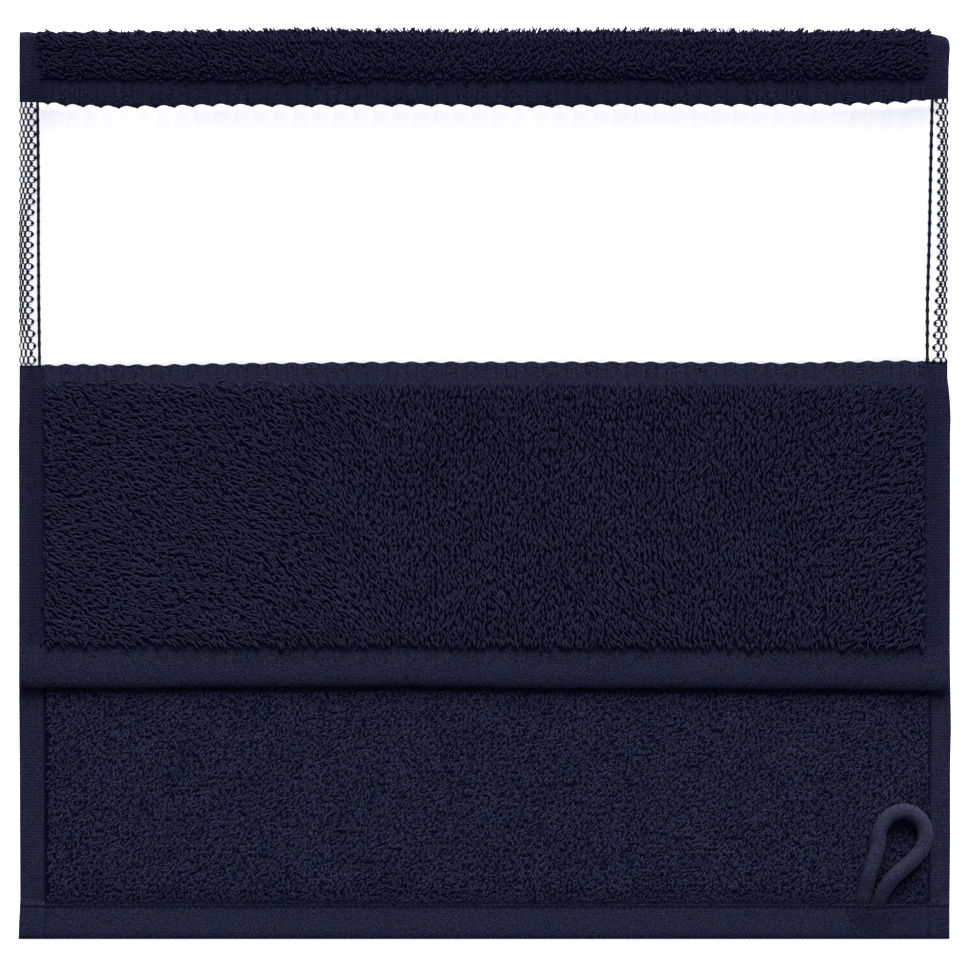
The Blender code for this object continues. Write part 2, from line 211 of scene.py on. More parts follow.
LOOP_ROUTE = table(
    Station, (121.7, -139, 1.9, 4.2, 1.2), (122, -136.2, 2.7, 4.5, 2),
    (122.4, -134, 3.8, 4.7, 2.6), (122.9, -131.3, 4.65, 4.8, 3), (124.2, -126.4, 6.15, 4.9, 3.7),
    (125.8, -121, 6.6, 5, 4.2), (127.1, -116, 6.6, 5, 4.2), (127.6, -111.6, 6.6, 5, 4.2),
    (130.4, -107.3, 6.6, 5, 4.2), (135.6, -105.4, 6.6, 5, 4.2), (140.3, -107.7, 6.6, 5, 4.2),
    (142.2, -112.3, 6.6, 5, 4.2), (141.1, -117.4, 6.6, 5, 4.2), (137.4, -121.9, 6.6, 5, 4.2),
    (132.6, -126, 6.45, 4.9, 3.9), (129.4, -130.4, 5.3, 4.8, 3.2), (127.6, -134, 3.8, 4.7, 2.6),
    (126.6, -136.2, 2.7, 4.5, 2), (126.2, -139, 1.9, 4.2, 1.2))

# The tables' own middle isn't quite the frame's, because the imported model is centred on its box
OFFSET_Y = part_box("towel")[0][1] / MM - SOLID_END


# ---- the cloth's shape


def smooth_step(value, start, end):
    """Go from 0 at start to 1 at end, level at both."""
    t = np.clip((value - start) / (end - start), 0.0, 1.0)
    return t * t * (3.0 - 2.0 * t)


def along(places, x, field="y", key="x"):
    """Read a table at x, evenly between two of its lines."""
    return np.interp(x, [getattr(place, key) for place in places],
                     [getattr(place, field) for place in places])


def up_cloth(rows, y, field):
    """Read a table whose lines follow one another in y."""
    return along(rows, y, field, "y")


def vectors(x, y, z):
    """Put coordinates together. A plain number counts for all of them."""
    return np.stack(np.broadcast_arrays(x, y, z), axis=-1)


def unit(rows):
    """Make each row's vector one long."""
    return rows / np.linalg.norm(rows, axis=1)[:, None]


def ripple(x, y, amount):
    """Give the pile's broad, uneven swell at a place."""
    wave = np.sin(x / 17.0 + 0.8 * np.sin(y / 23.0))
    cross = np.sin(y / 13.0 + 1.3 + 0.9 * np.sin(x / 31.0))
    return amount * (0.6 * wave + 0.4 * cross)


def pile_share(x):
    """Say how much of the long pile stands at x, from all of it to none on the selvedges."""
    return smooth_step(np.abs(x), SELVEDGE_START, PILE_END)


def short_pile_share(x):
    """Say how much of the short pile stands at x. It ends in a groove on either side."""
    return smooth_step(x, -SHORT_PILE_LEFT - 0.4, -SHORT_PILE_LEFT + 0.9) \
        * smooth_step(x, SHORT_PILE_RIGHT + 0.4, SHORT_PILE_RIGHT - 0.9)


def legs_across(x):
    return np.exp(-((x - LEGS_X) / LEGS_SPREAD) ** 4)


def hem_swell(x, y):
    """Give the rise of the back hem over the cord's ends."""
    rise = HEM_SWELL * legs_across(x) * smooth_step(y, HEM_SWELL_END, HEM_EDGE)
    return np.where(y > HEM_EDGE, 0.0, rise)


def hem_round(rows):
    return FRONT_HEM_ROUND if rows is FRONT_ROWS else BACK_HEM_ROUND


def ground(rows, x, y):
    """Give the ground weave's middle height and half thickness, which is less at a
    selvedge's edge and at the hem's rounded end."""
    sink = up_cloth(rows, y, "droop") * smooth_step(np.abs(x), SELVEDGE_START - 1.0, HALF_WIDTH)
    outward = np.clip((np.abs(x) - EDGE_ROUNDING_START) / (HALF_WIDTH - EDGE_ROUNDING_START),
                      0.0, 1.0)
    thin = np.maximum(EDGE_KEPT, np.sqrt(1.0 - outward ** 2))
    inward = np.clip((y - rows[0].y) / hem_round(rows), 0.0, 1.0)
    end = np.maximum(0.1, np.sqrt(np.clip(1.0 - (1.0 - inward) ** 2, 0.0, 1.0)))
    return up_cloth(rows, y, "mid") - sink, up_cloth(rows, y, "half") * thin * end


def ribs_before(x):
    """Count the ribs up to x, in parts of a rib too."""
    return along(RIB_COUNTS, x, "ribs")


def rib_wave(x):
    """Rise from 0 in a groove to 1 on a rib, and fall again, once in each rib."""
    return 0.5 + 0.5 * np.cos(2.0 * math.pi * ribs_before(x))


def front_top(x, y, nap=1.0):
    """Give the front layer's upper side, with that share of its pile's height."""
    mid, half = ground(FRONT_ROWS, x, y)
    nap_a = up_cloth(FRONT_ROWS, y, "nap_a")
    swell = ripple(x, y, FRONT_RIPPLE) * nap_a / FRONT_ROWS[-1].nap_a
    raised = smooth_step(y, LOWER_RIBS + RIB_FADE, LOWER_RIBS) \
        + smooth_step(y, UPPER_RIBS - RIB_FADE, UPPER_RIBS)
    rib = RIB_HEIGHT * up_cloth(FRONT_ROWS, y, "ribs") * rib_wave(x) * raised
    return mid + half + pile_share(x) * (nap_a * nap + swell + rib)


def front_under(x, y):
    mid, half = ground(FRONT_ROWS, x, y)
    return mid - half - pile_share(x) * up_cloth(FRONT_ROWS, y, "nap_b")


def back_top(x, y, nap=1.0):
    """Give the back layer's upper side, with that share of its short pile's height."""
    mid, half = ground(BACK_ROWS, x, y)
    nap_b = up_cloth(BACK_ROWS, y, "nap_b")
    pressed = nap_b * (1.0 - legs_across(x) * smooth_step(y, LEGS_PRESS_START, LEGS_PRESS_END))
    swell = np.minimum(nap_b, 1.0) * (ripple(x, y, BACK_RIPPLE) - BACK_RIPPLE)
    pile = short_pile_share(x) * np.maximum((pressed + swell) * nap, 0.0)
    return mid + half + pile + hem_swell(x, y)


def back_under(x, y, nap=1.0):
    mid, half = ground(BACK_ROWS, x, y)
    return mid - half - pile_share(x) * up_cloth(BACK_ROWS, y, "nap_a") * nap


def side_x(sides, x, y):
    """Move a point at x on a straight cloth to its place between the two real sides."""
    left, right = up_cloth(sides, y, "left"), up_cloth(sides, y, "right")
    return left + (right - left) * (x / HALF_WIDTH + 1.0) / 2.0


def front_points(x, y, z):
    """Place points of the front layer, whose hem isn't quite level."""
    sway = along(HEM_SWAY, x) * smooth_step(y, HEM_SWAY_START, HEM_SWAY_END)
    return vectors(side_x(FRONT_SIDES, x, y), y + sway, z)


def back_points(x, y, z):
    return vectors(side_x(BACK_SIDES, x, y), y, z)


def fold_place(x, turn, outer_nap=None):
    """Give a point on the fold and the way out of it there. turn goes from 0, on top, to
    half a circle, underneath. Without a share of the pile's height it is on the inner side."""
    reach = along(FOLD_REACH, x)
    top, bottom = front_top(x, FOLD_START), back_under(x, FOLD_START)
    centre_y, centre_z = reach - (top - bottom) / 2.0, (top + bottom) / 2.0
    if outer_nap is None:
        low, high = back_top(x, FOLD_START), front_under(x, FOLD_START)
        radius, centre_z = (high - low) / 2.0, (high + low) / 2.0
    else:
        radius = (front_top(x, FOLD_START, outer_nap) - back_under(x, FOLD_START, outer_nap)) / 2.0
    out = vectors(0.0 * x, np.sin(turn), np.cos(turn))
    place = vectors(side_x(FRONT_SIDES, x, reach), centre_y, centre_z)
    return place + out * np.expand_dims(radius, -1), out


def fold_base(x, turn):
    """Give the cloth's own mesh on the fold, under the pile, and the way out of it."""
    return fold_place(x, turn, UNDER_PILE + FOLD_FILLING * np.sin(turn))


# ---- meshes


def face_outwards(mesh):
    bm = bmesh.new()
    bm.from_mesh(mesh)
    bmesh.ops.recalc_face_normals(bm, faces=bm.faces)
    bm.to_mesh(mesh)
    bm.free()


def make_piece(name, points, faces, marks, material, slot="navy_terry", turned=True):
    """Make a piece of the towel. marks are named numbers on its points, which the
    materials read, and turned has its faces turned outwards."""
    mesh = bpy.data.meshes.new(name)
    placed = (np.asarray(points, dtype=float) + (0.0, OFFSET_Y, 0.0)) * MM
    mesh.from_pydata(placed.tolist(), [], faces)
    if turned:
        face_outwards(mesh)
    for key in marks:
        layer = mesh.attributes.new(key, "FLOAT", "POINT")
        layer.data.foreach_set("value", np.asarray(marks[key], dtype=np.float32))
    mesh.materials.append(material)
    mesh.shade_smooth()
    obj = bpy.data.objects.new(name, mesh)
    bpy.context.scene.collection.objects.link(obj)
    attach(obj, "root")
    return obj


def ring_faces(rings, sides):
    """List the faces between rings of points that follow one another."""
    faces = []
    for i in range(rings - 1):
        for j in range(sides):
            after = (j + 1) % sides
            faces.append((i * sides + j, i * sides + after,
                          (i + 1) * sides + after, (i + 1) * sides + j))
    return faces


def tube_faces(rings, sides):
    ends = [tuple(range(sides))[::-1], tuple((rings - 1) * sides + j for j in range(sides))]
    return ring_faces(rings, sides) + ends


CELL_MARGIN = 0.04


def lay_out_cells(mesh, count, corners):
    """Give each of count equal parts its own square cell of the map. corners are one
    part's face corners inside its cell, in the mesh's order."""
    across = math.ceil(math.sqrt(count))
    cells = np.arange(count)
    origin = np.stack([cells % across, cells // across], axis=-1)[:, None, :]
    inside = CELL_MARGIN + (1.0 - 2.0 * CELL_MARGIN) * np.asarray(corners)[None, :, :]
    layer = mesh.uv_layers.new(name="OFBake")
    layer.data.foreach_set("uv", ((origin + inside) / across).astype(np.float32).ravel())


# The form of a strand: its section's height as a share of its width, and its rings. A ring
# is how far along it lies, how high and how wide, as shares.
Form = namedtuple("Form", "flatness rings")
Ring = namedtuple("Ring", "along up width")

LONG_STRAND = Form(0.66, table(
    Ring, (-0.05, -0.25, 0.8), (0.2, 0.82, 1.05), (0.66, 0.98, 1.05), (1.04, 0.4, 0)))
TUFT_STRAND = Form(0.9, table(
    Ring, (-0.1, -0.25, 0.9), (0.22, 0.45, 1.05), (0.55, 0.8, 0.95), (0.85, 1, 0.7),
    (1.05, 1.08, 0)))
SHORT_LOOP = Form(0.7, table(
    Ring, (-0.12, -0.3, 1), (0.42, 1, 1.12), (1.08, 0, 0)))
RESTING_STRAND = Form(0.8, table(
    Ring, (-0.05, -0.1, 0.9), (0.6, 1, 1), (1.05, 0.3, 0)))

# The least and the greatest length, share of the room under the pile's surface, width and
# tone of a kind of strand
Strands = namedtuple("Strands", "length height width tone")

LONG_PILE = Strands((2.4, 3.7), (0.72, 1.10), (0.82, 1.08), (0.62, 0.83))
FOLD_PILE = Strands((1.8, 2.8), (0.30, 0.65), (0.7, 0.92), (0.34, 0.62))
FOLD_TUFTS = Strands((1.4, 2.3), (0.40, 0.75), (0.75, 1.0), (0.32, 0.6))
SHORT_PILE = Strands((1.3, 2.1), (0.74, 1.12), (0.78, 1.02), (0.86, 1.19))
RESTING_PILE = Strands((4.6, 6.2), (0.75, 0.98), (1.35, 1.7), (0.6, 1.0))

# Where strands stand, how far apart, and how far each strays, as a share of that. Round
# the fold, low, high and step_y are turns, as in fold_place.
Patch = namedtuple("Patch", "left right low high step_x step_y stray")

FRONT_PATCH = Patch(-142.6, 142.4, -50.2, 33.5, COLUMN_PITCH / 2.0, 1.7, 0.45)
OVER_RIBS_PATCH = Patch(-142.4, 142.4, 129.9, 141.8, 0.84, 1.35, 0.45)
FOLD_PATCH = Patch(-142.4, 142.4, 0.05, math.pi - 0.1, 0.88, 0.29, 0.45)
TUFTS_PATCH = Patch(-142.4, 142.4, 1.05, 2, 0.8, 0.24, 0.45)
SHORT_PATCH = Patch(-140.9, 142.9, -134.9, -60, COLUMN_PITCH / 2.0, ROW_PITCH / 2.0, 0.35)
RESTING_PATCH = Patch(-142, 142, -133.6, 141, 2.3, 3.6, 0.42)

STRAND_SIDES = 3
# Painted shade: a strand is darker at its root, deep in the pile, and a little at its tip.
ROOT_SHADE = 0.55             # how light a strand is at its root and at its tip
TIP_SHADE = 0.85
FLOOR_GAP = 0.03             # no strand comes nearer to the floor
TIP_REACH = 1.5              # a long strand's tip lies about this far from its root
LEAST_ROOM = 0.35            # a long strand stands at least about this high
LEAST_SHORT_ROOM = 0.12
HALF_STRAND = 0.45           # what a strand takes up below its middle, as a share of its width


def strand_mesh(name, field, form, material):
    """Join many bent, tapered strands into one mesh. field holds an array for each of
    root, up, lean, length, height, width, curl, arc and tone."""
    count = len(field["length"])
    lean, up = field["lean"], field["up"]
    side = np.cross(up, lean)
    centres = []
    for ring in form.rings:
        sideways = field["curl"] * (ring.along ** 2 - 0.5 * ring.along) \
            + field["arc"] * math.sin(math.pi * ring.along)
        centre = field["root"] + lean * (field["length"] * ring.along)[:, None] \
            + up * (field["height"] * ring.up)[:, None] \
            + side * (field["length"] * sideways)[:, None]
        lowest = FLOOR_GAP + field["width"] * ring.width * HALF_STRAND
        centre[:, 2] = np.maximum(centre[:, 2], lowest)
        centres.append(centre)
    points, tones = [], []
    for k, ring in enumerate(form.rings[:-1]):
        ahead = unit(centres[k + 1] - centres[max(k - 1, 0)])
        outward = np.cross(ahead, side)
        radius = (field["width"] * ring.width / 2.0)[:, None]
        for j in range(STRAND_SIDES):
            angle = math.pi / 2.0 + 2.0 * math.pi * j / STRAND_SIDES
            points.append(centres[k] + side * radius * math.cos(angle)
                          + outward * radius * math.sin(angle) * form.flatness)
            # painted shade on the root's ring
            tones.append(field["tone"] * (ROOT_SHADE if ring.up < 0.0 else 1.0))
    # the tip, with a little painted shade
    points.append(centres[-1])
    tones.append(field["tone"] * TIP_SHADE)

    rings, tip = len(form.rings) - 1, len(points) - 1
    quads = ring_faces(rings, STRAND_SIDES)
    first = (rings - 1) * STRAND_SIDES
    tips = [(first + j, first + (j + 1) % STRAND_SIDES, tip) for j in range(STRAND_SIDES)]
    corners = []
    for k in range(rings):
        low, high = k / rings, (k + 1) / rings
        for j in range(STRAND_SIDES):
            left, right = j / STRAND_SIDES, (j + 1) / STRAND_SIDES
            ends = [(right, high), (left, high)] if k < rings - 1 else [((left + right) / 2.0, 1.0)]
            corners += [(left, low), (right, low)] + ends
    faces = []
    for start in range(0, count * len(points), len(points)):
        faces += [(a + start, b + start, c + start, d + start) for a, b, c, d in quads]
        faces += [(a + start, b + start, c + start) for a, b, c in tips]
    piece = make_piece(name, np.stack(points, axis=1).reshape(-1, 3), faces,
                       {"tone": np.stack(tones, axis=1).ravel()}, material, turned=False)
    lay_out_cells(piece.data, count, corners)
    return piece


def split_pile(names, field, first, form, material):
    """Make two pieces of one pile: the strands for which first holds, and the others."""
    return [strand_mesh(name, {key: field[key][part] for key in field}, form, material)
            for name, part in zip(names, (first, ~first))]


def scatter(rng, patch):
    """Place points on a patch's staggered grid, each a little off its place."""
    columns = np.arange(patch.left, patch.right, patch.step_x)
    rows = np.arange(patch.low, patch.high, patch.step_y)
    x, y = np.meshgrid(columns, rows)
    x = x + (np.arange(len(rows)) % 2)[:, None] * patch.step_x / 2.0
    x = x + rng.uniform(-patch.stray, patch.stray, x.shape) * patch.step_x
    y = y + rng.uniform(-patch.stray, patch.stray, y.shape) * patch.step_y
    return x.ravel(), y.ravel()


def clumps(x, y, size, phase):
    """Give a smooth, uneven value between about -1 and 1 that changes over size."""
    a = np.sin(x / size + 1.7 * np.sin(y / size * 0.83 + phase) + phase)
    b = np.sin(y / size * 1.13 + 1.9 * np.sin(x / size * 0.71 - phase) + 2.0 * phase)
    return 0.5 * (a + b)


def draw(rng, kind, count, order):
    """Draw the measures of count strands, one measure after another."""
    return {name: rng.uniform(*getattr(kind, name), count) for name in order.split()}


def stand(rng, drawn, root, lean, up, curl, arc):
    """Add what strand_mesh needs besides. curl and arc are how far a strand bends at most."""
    return {**drawn, "root": root, "lean": lean, "up": up,
            "curl": rng.uniform(-curl, curl, len(root)), "arc": rng.uniform(-arc, arc, len(root))}


def stand_level(rng, drawn, root, angle, up_z, arc=0.15):
    """The same for strands on a level side, which lean at an angle."""
    lean = vectors(np.cos(angle), np.sin(angle), 0.0)
    return stand(rng, drawn, root, lean, vectors(0.0, 0.0, up_z + 0.0 * angle), 0.7, arc)


def column_share(x):
    """Say how far the long pile stands in columns: 1 in the middle and 0 at both sides."""
    return smooth_step(x, COLUMNS_LEFT - COLUMNS_FADE, COLUMNS_LEFT) \
        * smooth_step(x, COLUMNS_RIGHT + COLUMNS_FADE, COLUMNS_RIGHT)


def drawn_to_columns(x, y):
    """Draw the strands together in columns, which wander a little."""
    wander = 0.35 * np.sin(y / 7.0) + 0.3 * clumps(x, y, 12.0, 0.9)
    return x - COLUMN_PULL * column_share(x) * np.sin(2.0 * math.pi * (x - wander) / COLUMN_PITCH)


def long_pile_angle(rng, x, y):
    """Say which way the long pile leans on the front layer."""
    lower = smooth_step(y, -20.0, -50.0)
    angle = (1.0 - lower) * along(PILE_LEANS, x, "upper") + lower * along(PILE_LEANS, x, "lower")
    angle = angle + 11.0 * clumps(x, y, 3.1, 0.4) + 8.0 * clumps(x, y, 9.0, 2.1)
    stray = 25.0 - 12.0 * column_share(x)
    return np.radians(angle + stray * rng.normal(0.0, 1.0, len(x)))


def long_pile_field(rng, x, y, angle):
    root_z = front_top(x, y, UNDER_PILE)
    field = draw(rng, LONG_PILE, len(x), "width height tone length")
    tip_top = front_top(x + TIP_REACH * np.cos(angle), y + TIP_REACH * np.sin(angle))
    field["height"] *= np.maximum(tip_top - root_z - field["width"] / 2.0, LEAST_ROOM)
    field["tone"] *= 1.0 + 0.08 * clumps(x, y, 6.0, 1.3)
    return stand_level(rng, field, front_points(x, y, root_z), angle, 1.0)


def make_front_pile(material):
    """The long pile of the front layer, between the front hem and the lower ribs."""
    rng = np.random.default_rng(SEED)
    x, y = scatter(rng, FRONT_PATCH)
    x = drawn_to_columns(x, y)
    kept = np.abs(x) < 142.2 + rng.uniform(-0.9, 0.5, len(x))
    x, y = x[kept], y[kept]
    angle = long_pile_angle(rng, x, y)
    pieces = []
    for name, part in (("front_pile_left", x < 0.0), ("front_pile_right", x >= 0.0)):
        field = long_pile_field(rng, x[part], y[part], angle[part])
        # the pile's broad tone along the cloth, with painted shade towards its upper end
        field["tone"] *= up_cloth(PILE_TONE_AND_SHADE, y[part], "value")
        pieces.append(strand_mesh(name, field, LONG_STRAND, material))
    return pieces


def round_fold_field(rng, x, turn):
    """Gather the strands that stand on the fold: near its top they point away from the
    border, and further down they hang with the cloth."""
    root, out = fold_base(x, turn)
    fan = np.radians(along(FOLD_LEANS, x) + 14.0 * clumps(x, turn * 9.0, 2.3, 0.7)
                     + rng.normal(0.0, 22.0, len(x)))
    ahead = np.sin(fan) * np.where(turn < 1.35, 1.0, -1.0)
    lean = unit(vectors(np.cos(fan), ahead * np.cos(turn), -ahead * np.sin(turn)))
    field = draw(rng, FOLD_PILE, len(x), "length height width tone")
    return stand(rng, field, root, lean, out, 0.9, 0.25)


def tuft_field(rng, x, turn):
    """Gather the loose tips along the fold's outline, bunched into uneven tufts."""
    root, out = fold_base(x, turn)
    fan = np.radians(along(FOLD_LEANS, x) + rng.normal(0.0, 14.0, len(x)))
    lean = unit(vectors(np.cos(fan), 0.35 * np.abs(np.sin(fan)), 0.0))
    field = draw(rng, FOLD_TUFTS, len(x), "length height width tone")
    field["height"] *= 1.0 + 0.85 * clumps(x, 0.0 * x, 0.8, 0.2)
    return stand(rng, field, root, lean, out, 0.4, 0.1)


def make_fold_pile(material):
    """The long pile above the upper ribs and round the fold, which fans out there."""
    rng = np.random.default_rng(SEED + 1)
    x, y = scatter(rng, OVER_RIBS_PATCH)
    over_foot = y - along(FOLD_PILE_FOOT, x)
    kept = over_foot > rng.uniform(-1.6, -0.2, len(x))
    x, y, over_foot = x[kept], y[kept], over_foot[kept]
    near_foot = smooth_step(over_foot, 7.0, 0.0)
    angle = along(FOLD_LEANS, x) + 10.0 * clumps(x, y, 2.6, 1.1)
    angle += (22.0 + 20.0 * near_foot) * rng.normal(0.0, 1.0, len(x))
    hangs = (over_foot < 1.5) & (rng.uniform(0.0, 1.0, len(x)) < 0.5)
    angle = np.radians(np.where(hangs, -angle, angle))
    level = long_pile_field(rng, x, y, angle)
    level["length"] *= np.where(hangs, 0.42, 0.64)
    level["height"] *= 0.85
    # painted shade: the level strands are darker nearer the pile's foot by the ribs
    level["tone"] *= 0.68 - 0.1 * near_foot
    rounded = round_fold_field(rng, *scatter(rng, FOLD_PATCH))
    joined = {key: np.concatenate([level[key], rounded[key]]) for key in level}
    tufts = tuft_field(rng, *scatter(rng, TUFTS_PATCH))
    return [strand_mesh("fold_pile", joined, LONG_STRAND, material),
            strand_mesh("fold_tufts", tufts, TUFT_STRAND, material)]


def make_short_pile(material):
    """The short loops of the back layer, which reach a little under the front layer."""
    rng = np.random.default_rng(SEED + 2)
    x, y = scatter(rng, SHORT_PATCH)
    wander = 0.3 * clumps(x, y, 12.0, 0.9)
    y = y - ROW_PULL * np.sin(2.0 * math.pi * (y - wander) / ROW_PITCH)
    x = x - 0.5 * COLUMN_PULL * np.sin(2.0 * math.pi * (x - wander) / COLUMN_PITCH)
    by_loop = smooth_step(x, 105.0, 130.0) * smooth_step(y, -85.0, -110.0)
    angle = SHORT_PILE_LEAN + (SHORT_PILE_LEAN_BY_LOOP - SHORT_PILE_LEAN) * by_loop
    angle += 12.0 * clumps(x, y, 2.4, 0.9) + 8.0 * clumps(x, y, 11.0, 0.2)
    turned = np.where(y > -133.2, 180.0, 0.0) * rng.integers(0, 2, len(x))
    angle = np.radians(angle + rng.normal(0.0, 20.0, len(x)) + turned)
    length = rng.uniform(*SHORT_PILE.length, len(x))
    reach = x + length * np.cos(angle)
    kept = (reach > -SHORT_PILE_LEFT + 0.5) & (reach < SHORT_PILE_RIGHT - 0.5)
    x, y, angle, length = x[kept], y[kept], angle[kept], length[kept]
    root_z = back_top(x, y, UNDER_PILE)
    field = draw(rng, SHORT_PILE, len(x), "width height tone")
    mid_top = back_top(x + 0.5 * length * np.cos(angle), y + 0.5 * length * np.sin(angle))
    field["length"] = length
    field["height"] *= np.maximum(mid_top - root_z - field["width"] / 2.0, LEAST_SHORT_ROOM)
    field["tone"] *= 1.0 + 0.08 * clumps(x, y, 5.0, 0.3)
    field = stand_level(rng, field, back_points(x, y, root_z), angle, 1.0, arc=0.45)
    return split_pile(("short_pile_left", "short_pile_right"), field, x < 0.0, SHORT_LOOP, material)


def make_under_pile(material):
    """The long pile underneath, pressed flat by the towel's weight."""
    rng = np.random.default_rng(SEED + 3)
    x, y = scatter(rng, RESTING_PATCH)
    angle = np.radians(90.0 + 16.0 * clumps(x, y, 14.0, 0.5) + 10.0 * clumps(x, y, 3.4, 1.9)
                       + rng.normal(0.0, 13.0, len(x)))
    root_z = back_under(x, y, UNDER_PILE)
    field = draw(rng, RESTING_PILE, len(x), "width height length tone")
    field["height"] *= np.maximum(root_z - HALF_STRAND * field["width"] - FLOOR_GAP, 0.05)
    field = stand_level(rng, field, back_points(x, y, root_z), angle, -1.0)
    return split_pile(("under_pile_hem_side", "under_pile_fold_side"), field, y < 4.0,
                      RESTING_STRAND, material)


# ---- the woven cloth


def inner_columns(per_rib=COLUMNS_PER_RIB):
    """List columns that keep step with the ribs, between the two selvedges."""
    first, last = RIB_COUNTS[0].ribs, RIB_COUNTS[-1].ribs
    counts = np.arange(math.ceil(first * per_rib), math.floor(last * per_rib) + 1) / per_rib
    return [round(float(x), 4) for x in along(RIB_COUNTS, counts, "x", "ribs")
            if abs(x) < PILE_END - 0.2]


def plain_columns():
    """List the columns' x: close together at the selvedges and by the loop's legs."""
    inner = [x for k, x in enumerate(inner_columns())
             if k % PLAIN_STEP == 0 or abs(x - LEGS_X) < LEGS_REACH]
    side = [PILE_END, 141.7, 142.1, 142.5, SELVEDGE_START, 143.4, 143.7, 144.0, 144.3, 144.7, 146.0,
            147.6, EDGE_ROUNDING_START, 149.5, 149.75, 149.92, HALF_WIDTH]
    return [-x for x in reversed(side)] + inner + side


def rib_columns(per_rib=COLUMNS_PER_RIB):
    return sorted(set(inner_columns(per_rib)).union(plain_columns()))


def span_places(spans, rows):
    """List the y of the mesh's lines, from a hem's rounded end upwards."""
    turns = np.linspace(0.0, math.pi / 2.0, 9)[:-1]
    places = [rows[0].y + hem_round(rows) * (1.0 - math.cos(turn)) for turn in turns]
    for span in spans:
        count = max(1, round((span.stop - span.start) / span.pitch))
        places += list(np.linspace(span.start, span.stop, count, endpoint=False))
    return places + [spans[-1].stop]


RIBBED = ((30.0, 43.5), (118.0, 132.5))    # where the mesh has the ribs' fine columns


def cloth_lines():
    """Give pairs of lines, outside and inside, from the front hem round the fold to the
    back hem. A line is its nominal columns, its points and its marks."""
    plain, fine = np.array(plain_columns()), np.array(rib_columns())
    pairs = []
    for y in span_places(FRONT_SPANS, FRONT_ROWS):
        x = fine if any(low < y < high for low, high in RIBBED) else plain
        top = front_points(x, y, front_top(x, y, UNDER_PILE))
        under = front_points(plain, y, front_under(plain, y))
        pairs.append(((x, top, cloth_marks(x, y, FRONT_ROWS, "nap_a")),
                      (plain, under, cloth_marks(plain, y, FRONT_ROWS, "nap_b"))))
    for step in range(FOLD_STEPS + 1):
        turn = math.pi * step / FOLD_STEPS
        marks = cloth_marks(plain, FOLD_START, FRONT_ROWS, "nap_a")
        pairs.append(((plain, fold_base(plain, turn)[0], marks),
                      (plain, fold_place(plain, turn)[0], marks)))
    for y in reversed(span_places(BACK_SPANS, BACK_ROWS)):
        under = back_points(plain, y, back_under(plain, y, UNDER_PILE))
        top = back_points(plain, y, back_top(plain, y, UNDER_PILE))
        pairs.append(((plain, under, cloth_marks(plain, y, BACK_ROWS, "nap_a")),
                      (plain, top, cloth_marks(plain, y, BACK_ROWS, "nap_b"))))
    return pairs


# How light the bare cloth is, and how much painted shade darkens it: under the pile over it,
# in the grooves beside the short pile, along the seam, and as the pile's shadow at its foot by the
# fold
CLOTH_TONE = 0.92
COVERED_SHADE = 0.86
GROOVE_SHADE = 1.1
SEAM_SHADE = 0.12
FOOT_SHADOW = 0.25


def cloth_marks(x, y, rows, nap):
    """Say how light the cloth is, with painted shade under the pile, in the grooves, along the
    seam,
    at the pile's foot, on the upper ribs and beside the pile on the selvedges, and which weave it
    shows:
    the weft's fine lines on the selvedges, the grain of the hems and the grooves of the ribs."""
    covered = pile_share(x) * smooth_step(up_cloth(rows, y, nap), 0.5, 1.2)
    hem = smooth_step(up_cloth(rows, y, "half"), 0.6, 0.9)
    ribs = up_cloth(rows, y, "ribs") * pile_share(x)
    weft = smooth_step(np.abs(x), PILE_END, SELVEDGE_START) * (1.0 - hem)
    # painted shade: the cloth is darker where the pile covers it
    tone = CLOTH_TONE - COVERED_SHADE * covered + 0.0 * x
    if rows is BACK_ROWS:
        # painted shade in the grooves where the short pile ends beside the selvedges
        for place in (-SHORT_PILE_LEFT, SHORT_PILE_RIGHT):
            tone -= GROOVE_SHADE * np.exp(-((x - place) / GROOVE_SHADE_WIDTH) ** 2) * (1.0 - 0.65 * hem)
        # painted shade along the dimple of the seam
        tone -= SEAM_SHADE * np.exp(-((y - SEAM_LINE) / 0.35) ** 2)
    else:
        # painted shadow of the fold's pile, which overhangs the ribs at its foot
        foot = along(FOLD_PILE_FOOT, x) - 0.9
        tone -= FOOT_SHADOW * np.exp(-(y - foot) ** 2) * pile_share(x)
        # the ribs' own darker tone, and on the upper ribs painted shade that grows towards the
        # fold's pile
        tone -= 0.13 * ribs * smooth_step(y, 100.0, 124.0) \
            + 0.12 * ribs * smooth_step(y, 124.0, 129.0)
        tone -= 0.10 * ribs * smooth_step(y, 60.0, 44.0)
        # the selvedges' own slightly darker tone, and painted shade beside the pile that darkens
        # their inner side
        tone -= weft * (0.06 + 0.26 * smooth_step(np.abs(x), 148.6, 145.6))
    return {"tone": np.maximum(tone, 0.0), "weft": weft, "twill": hem + 0.0 * x,
            "ribs": ribs * (1.0 - covered), "rib_count": ribs_before(x)}


